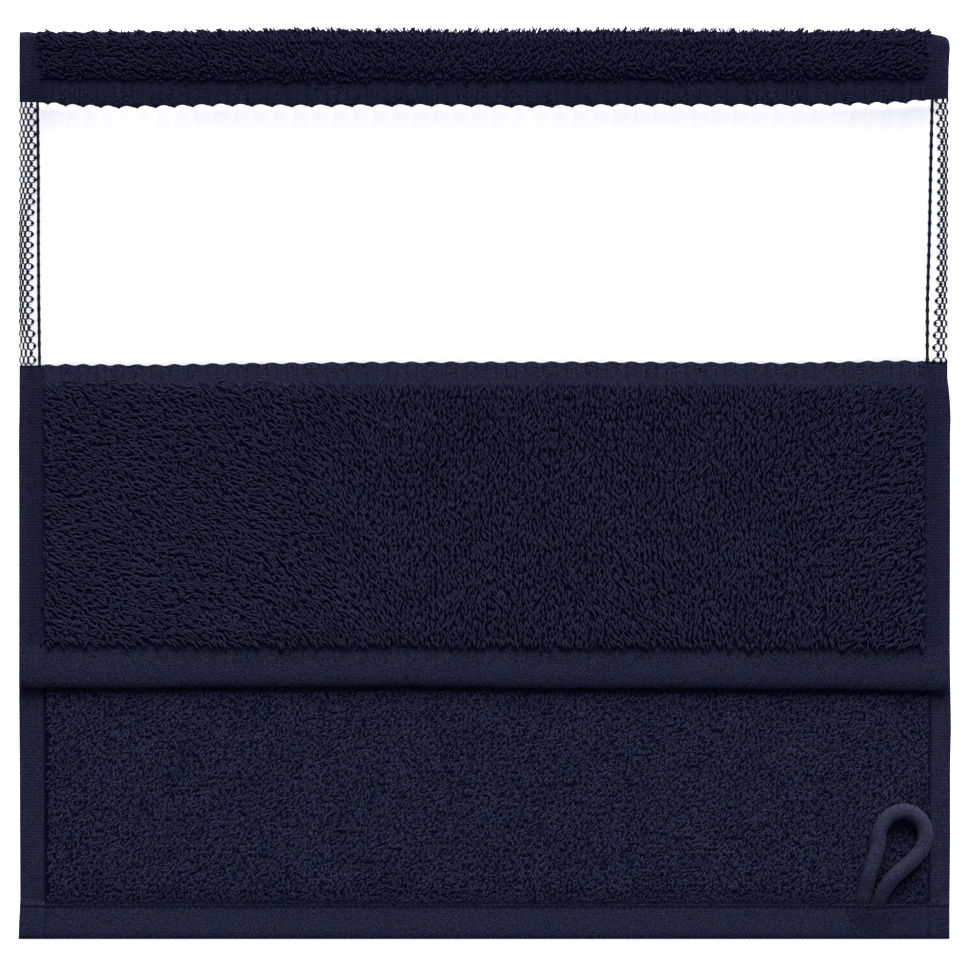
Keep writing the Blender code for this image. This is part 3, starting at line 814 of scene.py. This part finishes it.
def closed_skin(pairs):
    """Join pairs of lines, as cloth_lines gives them, into one closed skin. Gives its
    points, its faces and its points' marks."""
    around = [pair[0] for pair in pairs] + [pair[1] for pair in reversed(pairs)]
    starts = np.cumsum([0] + [len(line[0]) for line in around])
    index = [{round(place, 4): start + i for i, place in enumerate(line[0])}
             for line, start in zip(around, starts)]
    faces = []
    for i, near in enumerate(index):
        far = index[(i + 1) % len(index)]
        shared = sorted(set(near).intersection(far))
        for start, end in zip(shared, shared[1:]):
            faces.append([*range(near[start], near[end] + 1),
                          *range(far[end], far[start] - 1, -1)])
    for i in range(len(pairs) - 1):
        ring = (index[i], index[i + 1], index[-2 - i], index[-1 - i])
        faces += [[line[place] for line in ring] for place in (-HALF_WIDTH, HALF_WIDTH)]
    marks = {name: np.concatenate([line[2][name] for line in around]) for name in around[0][2]}
    return np.concatenate([line[1] for line in around]), faces, marks


def make_cloth(material):
    """The towel's cloth in one closed mesh, up to the roots of its pile."""
    return make_piece("towel_cloth", *closed_skin(cloth_lines()), material)


# ---- border and threads

BORDER_RISE = 0.14           # how far the white weave stands over the cloth's own mesh
BORDER_SINK = -0.12          # its outermost lines go into the cloth instead
BORDER_THICKNESS = 0.45
# painted shade: the white weave's outermost lines are dark, over this width along its two edges
BORDER_EDGE_SHADE_WIDTH = 0.45        # the dark line along the white weave's two edges
ARCH_DEPTH = 0.95            # from the arches' tops to the cusps, along the upper edge
BUMP_DEPTH = 0.55            # the softer waves of the lower edge
BORDER_SHARES = np.linspace(0.03, 0.97, 11)    # the mesh's lines between its two edges
COLUMNS_PER_ARCH = 16
# An arch of the upper edge, from cusp to cusp: it rises at once and falls in two steps
ARCH = table(
    Place, (0, 0), (0.12, 0.55), (0.28, 0.9), (0.42, 1), (0.58, 0.85), (0.7, 0.5), (0.78, 0.52),
    (0.88, 0.3), (1, 0))


def border_edges(x):
    """Give the y of the white weave's lower and upper edge."""
    inside = pile_share(x)
    low = along(BORDER_FOOT, x) + BUMP_DEPTH * (rib_wave(x) - 0.5) * inside
    arch = along(ARCH, ribs_before(x) % 1.0)
    high = along(BORDER_TOP, x) + ARCH_DEPTH * (arch - 0.55) * inside
    return low, high


def make_border(material):
    """The white flat weave: a thin sheet of its own colour that lies on the cloth and
    ends in a dark line of painted shade where the navy rows begin."""
    x = np.array(rib_columns(COLUMNS_PER_ARCH))
    low, high = border_edges(x)
    # the outermost lines carry the outline mark, which paints the shade
    rows = [(low - BORDER_EDGE_SHADE_WIDTH, BORDER_SINK, 1.0), (low, BORDER_RISE, 0.0)]
    rows += [(low + (high - low) * share, BORDER_RISE, 0.0) for share in BORDER_SHARES]
    rows += [(high, BORDER_RISE, 0.0), (high + BORDER_EDGE_SHADE_WIDTH, BORDER_SINK, 1.0)]
    pairs = []
    for y, rise, dark in rows:
        top = front_points(x, y, front_top(x, y, UNDER_PILE) + rise)
        marks = {"outline": dark + 0.0 * x}
        pairs.append(((x, top, marks), (x, top - (0.0, 0.0, BORDER_THICKNESS), marks)))
    return make_piece("white_border", *closed_skin(pairs), material, "white_border")


def tube(route, radius, sides):
    """Sweep a round section along a route. Gives points and faces."""
    radius = np.broadcast_to(radius, len(route))
    ahead = unit(np.gradient(route, axis=0))
    side = unit(np.cross(ahead, (0.0, 0.0, 1.0)))
    up = np.cross(side, ahead)
    angles = (2.0 * math.pi * np.arange(sides) / sides)[None, :, None]
    ring = side[:, None, :] * np.cos(angles) + up[:, None, :] * np.sin(angles)
    points = (route[:, None, :] + ring * radius[:, None, None]).reshape(-1, 3)
    return points, tube_faces(len(route), sides)


def join_tubes(name, tubes, material):
    faces, start = [], 0
    for points, tube_face_list in tubes:
        faces += [tuple(corner + start for corner in face) for face in tube_face_list]
        start += len(points)
    return make_piece(name, np.concatenate([points for points, _ in tubes]), faces, {}, material)


THREAD_STEP = 0.28           # between two points of a thread's route
THREAD_RADIUS = 0.26
FINE_RADIUS = 0.19           # of the thread nearest to the white, between its knots
BAR_RADIUS = 0.52            # where two threads run side by side
KNOT_RADIUS = 0.72
STRAIGHT_RADIUS = 0.48
HOLD = 2.4                   # how long a thread runs along its meetings before it crosses over
THINNING = 0.08              # how much thinner the threads are, cell by cell towards the edge
RIGHT_CELLS_LOWER = 0.5      # the right selvedge's cells lie a little lower

# The honeycomb's cells counted from the top: they are taller near the border's two ends
CELL_COUNTS = table(
    Place, (-1, 124.8), (0, 120.9), (4, 105.6), (8, 91.5), (12, 77.5), (16, 63.6), (19, 52.7),
    (21, 44.9), (22, 40.3), (23, 35.8))

# The places across where the honeycomb's threads meet, from the knots out to the edge: at
# the border's two ends, where the selvedge lies flat, and at its middle, where it rolls down
Meeting = namedtuple("Meeting", "ends middle")

LEFT_MEETINGS = table(
    Meeting, (-144.9, -145.8), (-146.1, -147.3), (-147.1, -148.2), (-147.9, -148.9),
    (-148.6, -149.4), (-149.3, -149.75), (-149.85, -150))
RIGHT_MEETINGS = table(
    Meeting, (145.6, 147), (147, 148), (148, 148.7), (148.8, 149.3), (149.6, 149.8))
# Where the selvedge's roll starts and is whole, from the border's top and from its foot
LEFT_ROLL = (100.0, 82.0, 42.0, 57.0)
RIGHT_ROLL = (133.0, 108.0, 40.0, 75.0)
# The straight threads beside the two honeycombs
STRAIGHT_THREADS = table(
    Side, (38, -143.4, 143.5), (60, -143.7, 143.5), (79, -143.8, 144), (100, -143.8, 144.3),
    (125, -144.1, 144.7))


def cells_before(y):
    """Count the honeycomb's cells from the top down to y."""
    return np.interp(-y, [-place.y for place in CELL_COUNTS], [place.x for place in CELL_COUNTS])


def thread_route(y, x):
    return front_points(x, y, front_top(x, y, UNDER_PILE) + BORDER_RISE)


def thread_rows(x):
    low, high = border_edges(np.array([x]))
    return np.arange(low[0] - 0.4, high[0] + 0.4, THREAD_STEP)


def rolled_share(y, top, top_end, foot, foot_end):
    """Say how far a selvedge has rolled down at y. It starts at top and at foot."""
    return smooth_step(y, top, top_end) * smooth_step(y, foot, foot_end)


def make_threads(material):
    """The navy threads on the border's two selvedges: zigzags that meet in bars and leave
    white cells open between them, and one straight thread with its knots."""
    tubes = []
    for meetings, roll, lower in ((LEFT_MEETINGS, LEFT_ROLL, 0.0),
                                  (RIGHT_MEETINGS, RIGHT_ROLL, RIGHT_CELLS_LOWER)):
        for i, (inner, outer) in enumerate(zip(meetings, meetings[1:])):
            y = thread_rows(inner.ends)
            rolled = rolled_share(y, *roll)
            first = inner.ends + (inner.middle - inner.ends) * rolled
            second = outer.ends + (outer.middle - outer.ends) * rolled
            swing = np.cos(2.0 * math.pi * cells_before(y + lower) + math.pi * (i + 1))
            held = np.tanh(HOLD * swing) / math.tanh(HOLD)
            x = (first + second) / 2.0 + (second - first) / 2.0 * held
            radius = THREAD_RADIUS + (BAR_RADIUS - THREAD_RADIUS) * np.abs(held) ** 5
            if i == 0:
                radius = FINE_RADIUS + (KNOT_RADIUS - FINE_RADIUS) * np.abs(swing) ** 4
            tubes.append(tube(thread_route(y, x), radius * (1.0 - THINNING * i), 5))
    for side, bulge, lower in (("left", 0.12, 0.0), ("right", 0.20, RIGHT_CELLS_LOWER)):
        y = thread_rows(getattr(STRAIGHT_THREADS[0], side))
        x = up_cloth(STRAIGHT_THREADS, y, side)
        knots = (0.5 + 0.5 * np.cos(2.0 * math.pi * cells_before(y + lower) + 0.9)) ** 4
        tubes.append(tube(thread_route(y, x), STRAIGHT_RADIUS + bulge * knots, 6))
    return join_tubes("border_threads", tubes, material)


STITCH_PITCH = 2.0
STITCH_LENGTH = 1.35
STITCH_RADIUS = 0.2


def make_stitches(material):
    """The seam that holds the back hem down: short stitches on its upper and lower side."""
    rng = np.random.default_rng(SEED + 4)
    arch = np.array([-0.10, 0.10, 0.16, 0.10, -0.10])
    radius = STITCH_RADIUS * np.array([0.6, 1.0, 1.0, 1.0, 0.6])
    tubes = []
    for x in np.arange(-141.0, 141.0, STITCH_PITCH):
        run = x + rng.uniform(-0.15, 0.15) + np.linspace(-0.5, 0.5, 5) * STITCH_LENGTH
        y = SEAM_LINE + 0.12 * np.sin(x / 9.0) + np.linspace(-0.06, 0.06, 5)
        under = np.maximum(back_under(run, y) + 0.12 - arch, STITCH_RADIUS)
        for height in (back_top(run, y) + arch, under):
            tubes.append(tube(back_points(run, y, height), radius, 5))
    return join_tubes("hem_stitches", tubes, material)


# ---- the hanging loop

LOOP_STEPS = 10
LOOP_SIDES = 28
CORD_STRANDS = 9             # wales of the knitted cord round its section
CORD_RELIEF = 0.07
CORD_STITCH = 1.5            # length of one knitted stitch along the cord


def spline(points, steps):
    """Run a smooth curve through given points, with stations between them."""
    values = np.array(points, dtype=float)
    padded = np.vstack([2.0 * values[0] - values[1], values, 2.0 * values[-1] - values[-2]])
    result = []
    for i in range(1, len(padded) - 2):
        before, start, end, after = padded[i - 1:i + 3]
        for step in range(steps):
            t = step / steps
            result.append(0.5 * (2.0 * start + (end - before) * t
                                 + (2.0 * before - 5.0 * start + 4.0 * end - after) * t ** 2
                                 + (3.0 * start - before - 3.0 * end + after) * t ** 3))
    result.append(values[-1])
    return np.array(result)


def make_loop(material):
    """The soft cord on the solid's own route, with the shallow relief of its stitches."""
    stations = spline(LOOP_ROUTE, LOOP_STEPS)
    centre = stations[:, :3]
    travelled = np.concatenate([[0.0], np.cumsum(np.linalg.norm(np.diff(centre, axis=0), axis=1))])
    run = unit(np.gradient(centre[:, :2], axis=0))
    across = np.stack([run[:, 1], -run[:, 0]], axis=-1)
    angles = 2.0 * math.pi * np.arange(LOOP_SIDES) / LOOP_SIDES
    points = []
    for i, (x, y, z, width, height) in enumerate(stations):
        knit = np.cos(CORD_STRANDS * angles) * np.cos(2.0 * math.pi * travelled[i] / CORD_STITCH)
        uneven = 0.05 * math.sin(travelled[i] / 5.3) + CORD_RELIEF * knit
        out = (width / 2.0 + uneven) * np.cos(angles)
        rise = (height / 2.0 + uneven) * np.sin(angles)
        points.append(vectors(x + across[i, 0] * out, y + across[i, 1] * out, z + rise))
    return make_piece("loop_cord", np.concatenate(points), tube_faces(len(stations), LOOP_SIDES),
                      {}, material, "navy_cord")


# ---- materials

PILE_PLUM = (0.0238, 0.0212, 0.0492, 1.0)
PILE_TEAL = (0.0192, 0.0232, 0.0492, 1.0)
CLOTH_PLUM = (0.0162, 0.0143, 0.0340, 1.0)
CLOTH_TEAL = (0.0129, 0.0156, 0.0340, 1.0)
# the dark end of the pile's and the cloth's own tone, and the colour of painted shade
DEEP_NAVY_AND_SHADE = (0.0024, 0.0020, 0.0140, 1.0)
CORD_PLUM = (0.0250, 0.0235, 0.0490, 1.0)
CORD_TEAL = (0.0215, 0.0262, 0.0490, 1.0)
BORDER_WHITE = (0.86, 0.86, 0.86, 1.0)
BORDER_SHADE = (0.85, 0.85, 0.855, 1.0)


class Finish:
    """A cloth material in the making, with the nodes that its looks are made of."""

    def __init__(self, name, color, roughness, shine):
        self.material = bpy.data.materials.new(name)
        self.material.use_nodes = True
        self.material.diffuse_color = color
        self.tree = self.material.node_tree
        self.shader = self.tree.nodes["Principled BSDF"]
        self.shader.inputs["Roughness"].default_value = roughness
        self.shader.inputs["Specular IOR Level"].default_value = shine
        self.place = self.add("TexCoord", "Object", {})

    def add(self, kind, output, inputs, **settings):
        """Add a node, with plain values or other nodes' sockets on its inputs."""
        node = self.tree.nodes.new("ShaderNode" + kind)
        for name, value in settings.items():
            setattr(node, name, value)
        for key, value in inputs.items():
            if isinstance(value, bpy.types.NodeSocket):
                self.tree.links.new(value, node.inputs[key])
            else:
                node.inputs[key].default_value = value
        return node.outputs[output]

    def times(self, first, second):
        return self.add("Math", 0, {0: first, 1: second}, operation="MULTIPLY")

    def plus(self, first, second):
        return self.add("Math", 0, {0: first, 1: second}, operation="ADD")

    def noise(self, size_mm, detail=2.0, stretch=None):
        """A soft random value whose patches are about size_mm across."""
        place = self.place
        if stretch:
            place = self.add("VectorMath", 0, {0: place, 1: stretch}, operation="MULTIPLY")
        return self.add("TexNoise", "Fac", {"Vector": place, "Scale": 1.0 / (size_mm * MM),
                                            "Detail": detail, "Roughness": 0.55})

    def lines(self, axis, pitch_mm, waver=0.0):
        """Even soft lines across an axis, 0 in their grooves and 1 on their ridges."""
        return self.add("TexWave", "Fac", {"Vector": self.place, "Distortion": waver,
                                           "Scale": math.pi / (10.0 * pitch_mm * MM),
                                           "Detail": 1.0, "Detail Scale": 2.0},
                        wave_type="BANDS", bands_direction=axis, wave_profile="SIN")

    def mark(self, name):
        return self.add("Attribute", "Fac", {}, attribute_name=name)

    def spread(self, value, low, high, to_low, to_high):
        """Stretch the values from low to high over another range, and hold the rest."""
        return self.add("MapRange", 0, {0: value, 1: low, 2: high, 3: to_low, 4: to_high})

    def only_where(self, value, share):
        """Let a factor act where share is 1 and leave it at 1 where share is 0."""
        return self.plus(self.times(self.plus(value, -1.0), share), 1.0)

    def blend(self, share, first, second, clamped=True):
        return self.add("Mix", 2, {0: share, 6: first, 7: second}, data_type="RGBA",
                        clamp_factor=clamped)

    def shade(self, color, amount):
        """Make a colour lighter or darker by a factor."""
        return self.add("VectorMath", 0, {0: color, "Scale": amount}, operation="SCALE")

    def dyed(self, first, second, patch_mm):
        """The dye's colour, which wanders in patches between two tones."""
        patches = self.spread(self.noise(patch_mm, 3.0), 0.30, 0.70, 0.0, 1.0)
        return self.blend(patches, first, second)

    def toned_and_shaded(self, color):
        """Sink a colour towards a deep navy where the tone mark is low: the tone holds each
        strand's own tone and the painted shade in the pile and on the cloth.
        """
        return self.blend(self.mark("tone"), DEEP_NAVY_AND_SHADE, color, clamped=False)

    def done(self, color, height, depth_mm, strength):
        """Give the material, with its colour and its fine relief."""
        normal = self.add("Bump", "Normal", {"Height": height, "Distance": depth_mm * MM,
                                             "Strength": strength})
        self.tree.links.new(color, self.shader.inputs["Base Color"])
        self.tree.links.new(normal, self.shader.inputs["Normal"])
        return self.material


def pile_material():
    """Cotton yarn of the pile: each strand has its own tone, and painted shade makes it darker at
    its root and a little at its tip.
    """
    look = Finish("terry_pile", PILE_PLUM, 0.9, 0.03)
    fibres, twist = look.noise(0.16, 2.0), look.noise(0.75, 1.0)
    color = look.toned_and_shaded(look.dyed(PILE_PLUM, PILE_TEAL, 7.0))
    color = look.shade(color, look.spread(fibres, 0.3, 0.7, 0.86, 1.14))
    color = look.shade(color, look.spread(twist, 0.35, 0.65, 0.84, 1.16))
    return look.done(color, fibres, 0.12, 0.6)


def cloth_material():
    """The woven cloth: faint weft lines on its selvedges, a fine grain on its hems, upright
    grooves and a beaded grain on its ribs, and darker where its tone mark paints shade, as under
    the pile."""
    look = Finish("terry_ground", CLOTH_PLUM, 0.9, 0.03)
    times, plus, spread, only_where = look.times, look.plus, look.spread, look.only_where
    fine = look.noise(0.5, 2.0)
    grain = look.noise(0.43, 1.0, (1.2, 0.9, 1.0))
    patches = spread(look.noise(7.0), 0.40, 0.60, 0.70, 1.0)
    beads = look.noise(0.6, 1.0, (0.8, 1.2, 1.0))
    strips = spread(look.noise(3.4, 1.0, (1.0, 0.2, 1.0)), 0.40, 0.58, 0.15, 1.0)
    weft = times(look.lines("Y", 1.02, 1.2), spread(fine, 0.35, 0.65, 0.3, 1.0))
    # Two upright grooves in each rib: 0 in a groove and 1 beside it
    turn = times(look.mark("rib_count"), 4.0 * math.pi)
    grooves = spread(look.add("Math", 0, {0: turn}, operation="COSINE"), -1.0, -0.75, 0.0, 1.0)
    hem, ribs, selvedge = look.mark("twill"), look.mark("ribs"), look.mark("weft")

    on_hem = only_where(spread(grain, 0.38, 0.62, 0.24, 1.76), times(hem, patches))
    on_ribs_grain = only_where(spread(beads, 0.36, 0.64, 0.25, 1.75), times(ribs, strips))
    on_ribs_lines = only_where(spread(grooves, 0.0, 1.0, 0.68, 1.0), ribs)
    on_selvedge = only_where(times(spread(weft, 0.0, 1.0, 0.90, 1.06),
                                   spread(grain, 0.38, 0.62, 0.52, 1.48)), selvedge)
    light = times(times(on_hem, on_ribs_grain), times(on_ribs_lines, on_selvedge))
    light = times(light, spread(fine, 0.35, 0.65, 0.78, 1.22))
    color = look.shade(look.toned_and_shaded(look.dyed(CLOTH_PLUM, CLOTH_TEAL, 9.0)), light)

    rib_height = times(plus(times(beads, 0.7), times(grooves, 0.5)), ribs)
    height = plus(times(grain, times(hem, patches)),
                  plus(rib_height, times(times(weft, 0.4), selvedge)))
    return look.done(color, plus(height, times(fine, 0.4)), 0.22, 0.8)


def border_material():
    """The white flat weave, with its dark line of painted shade where it meets the navy rows."""
    look = Finish("white_flat_weave", BORDER_WHITE, 0.85, 0.1)
    weave = look.times(look.lines("X", 0.55), look.lines("Y", 0.45))
    color = look.shade(look.blend(look.noise(14.0), BORDER_WHITE, BORDER_SHADE),
                       look.spread(weave, 0.0, 1.0, 0.99, 1.0))
    # painted shade: the outline mark turns the white into deep navy at the weave's two edges
    edge = look.spread(look.mark("outline"), 0.15, 0.45, 0.0, 1.0)
    return look.done(look.blend(edge, color, DEEP_NAVY_AND_SHADE), weave, 0.03, 0.4)


def thread_material():
    """Twisted navy sewing and weaving thread."""
    look = Finish("navy_thread", CLOTH_PLUM, 0.85, 0.05)
    twist = look.lines("DIAGONAL", 0.35, 0.5)
    color = look.shade(look.dyed(CLOTH_PLUM, CLOTH_TEAL, 5.0),
                       look.spread(twist, 0.0, 1.0, 0.45, 0.75))
    return look.done(color, twist, 0.08, 0.6)


def cord_material():
    """Soft knitted cord with a light fuzz and fine flecks."""
    look = Finish("knitted_cord", CORD_PLUM, 0.9, 0.04)
    flecks = look.noise(0.7, 2.0)
    color = look.shade(look.dyed(CORD_PLUM, CORD_TEAL, 4.0),
                       look.spread(flecks, 0.35, 0.65, 0.62, 1.34))
    return look.done(color, flecks, 0.35, 0.8)


# ---- scene

CAMERA_LENS = 250.0
SENSOR_WIDTH = 36.0
FRAME_WIDTH = 313.6          # what the picture shows across, at the towel's mean height
MEAN_HEIGHT = 5.0
CAMERA_X = 0.16
CAMERA_Y = -0.24
FLOOR_HALF = 3.0             # in metres, like the floor's level
FLOOR_LEVEL = -0.0002
FLOOR_WHITE = (0.93, 0.93, 0.93, 1.0)
FLOOR_GLOW = 0.85            # lifts the floor to the even white of a studio
ROOM_COLOR = (0.58, 0.62, 1.0, 1.0)
ROOM_STRENGTH = 0.34
KEY_ENERGY = 6.3
KEY_COLOR = (1.0, 0.975, 0.92)
KEY_SIZE = 46.0              # the light's own width, in degrees
KEY_TILT = -60.0             # from straight above towards the fold's side
KEY_TURN = -8.0


def make_camera():
    """Look straight down on the towel, with the fold at the picture's top."""
    data = bpy.data.cameras.new("camera")
    data.lens = CAMERA_LENS
    data.sensor_width = SENSOR_WIDTH
    data.clip_end = 20.0
    camera = bpy.data.objects.new("camera", data)
    distance = FRAME_WIDTH * CAMERA_LENS / SENSOR_WIDTH
    camera.location = (CAMERA_X * MM, (CAMERA_Y + OFFSET_Y) * MM, (distance + MEAN_HEIGHT) * MM)
    bpy.context.scene.collection.objects.link(camera)
    bpy.context.scene.camera = camera


def make_floor():
    mesh = bpy.data.meshes.new("floor")
    corners = [(across * FLOOR_HALF, deep * FLOOR_HALF, FLOOR_LEVEL)
               for across, deep in ((-1, -1), (1, -1), (1, 1), (-1, 1))]
    mesh.from_pydata(corners, [], [(0, 1, 2, 3)])
    material = bpy.data.materials.new("pale_floor")
    material.use_nodes = True
    values = {"Base Color": FLOOR_WHITE, "Roughness": 0.9, "Specular IOR Level": 0.0,
              "Emission Color": (1.0, 1.0, 1.0, 1.0), "Emission Strength": FLOOR_GLOW}
    for name, value in values.items():
        material.node_tree.nodes["Principled BSDF"].inputs[name].default_value = value
    mesh.materials.append(material)
    floor = bpy.data.objects.new("floor", mesh)
    bpy.context.scene.collection.objects.link(floor)


def make_lights():
    """A dim, cool room and one large soft light that comes in low from the fold's side."""
    world = bpy.data.worlds.new("studio")
    world.use_nodes = True
    background = world.node_tree.nodes["Background"]
    background.inputs["Color"].default_value = ROOM_COLOR
    background.inputs["Strength"].default_value = ROOM_STRENGTH
    bpy.context.scene.world = world
    sun = bpy.data.lights.new("key", "SUN")
    sun.energy = KEY_ENERGY
    sun.color = KEY_COLOR
    sun.angle = math.radians(KEY_SIZE)
    key = bpy.data.objects.new("key", sun)
    key.rotation_euler = (math.radians(KEY_TILT), 0.0, math.radians(KEY_TURN))
    bpy.context.scene.collection.objects.link(key)
    bpy.context.scene.view_settings.view_transform = "Standard"


def main():
    make_camera()
    make_floor()
    make_lights()
    pile, threads = pile_material(), thread_material()
    cloth = make_cloth(cloth_material())
    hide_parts("towel")
    dressing = make_front_pile(pile) + make_fold_pile(pile) + make_short_pile(pile)
    dressing += make_under_pile(pile)
    dressing += [make_border(border_material()), make_threads(threads), make_stitches(threads)]
    loop = make_loop(cord_material())
    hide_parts("hanging_loop")


main()
